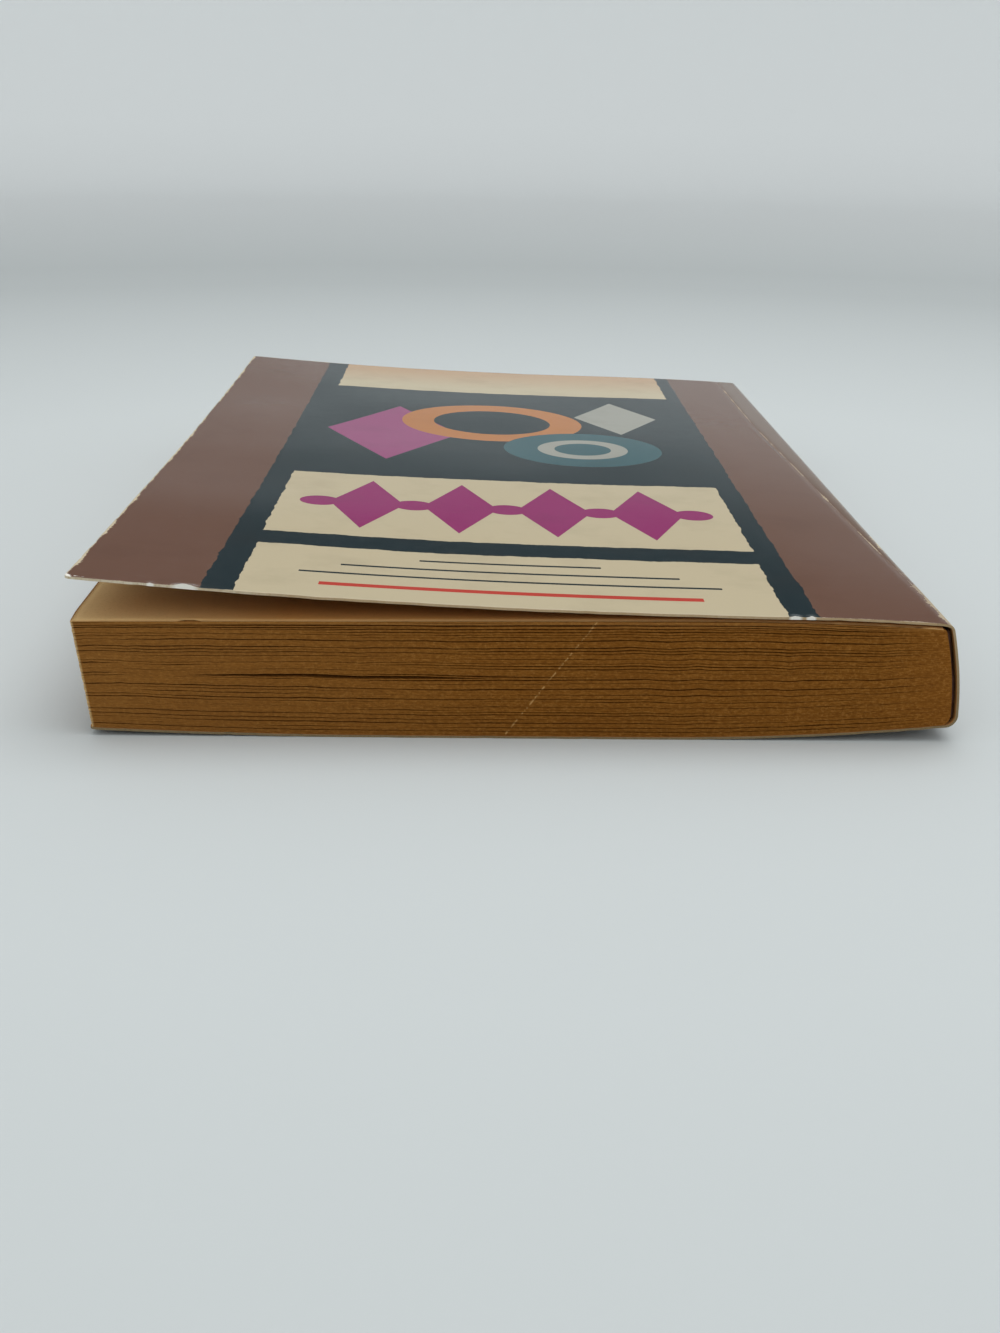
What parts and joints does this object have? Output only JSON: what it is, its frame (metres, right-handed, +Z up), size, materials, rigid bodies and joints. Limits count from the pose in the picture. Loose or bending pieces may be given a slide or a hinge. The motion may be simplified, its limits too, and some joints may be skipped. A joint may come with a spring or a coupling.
{
  "type": "paperback book",
  "caption": "Worn paperback book lying on its back, spine rolled out of square and front cover curled up at the fore edge; both covers turn on the creases beside the spine.",
  "frame": {"origin": "middle of the book's outline, on the surface that it lies on", "axes": "+X towards the spine, +Y towards the foot of the pages, +Z up, out of the front cover"},
  "size_m": [0.1094, 0.175, 0.0205],
  "materials": {
    "aged_paper": "matt, toned brown with age",
    "binding_glue": "dull, dark with age",
    "cover_card": "printed and varnished, rubbed at the edges"
  },
  "bodies": {
    "block": {"pages": "aged_paper", "spine_glue": "binding_glue", "spine_cover": "cover_card"},
    "front_cover": {"front_cover": "cover_card"},
    "back_cover": {"back_cover": "cover_card"}
  },
  "joints": [
    {"name": "front_cover_hinge", "type": "hinge", "parent": "block", "child": "front_cover", "pos_m": [0.0488, 0, 0.01541], "axis": [0, 1, 0], "range_deg": [0, 170]},
    {"name": "back_cover_hinge", "type": "hinge", "parent": "block", "child": "back_cover", "pos_m": [0.0505, 0, 0.00162], "axis": [0, -1, 0], "range_deg": [0, 170]}
  ]
}
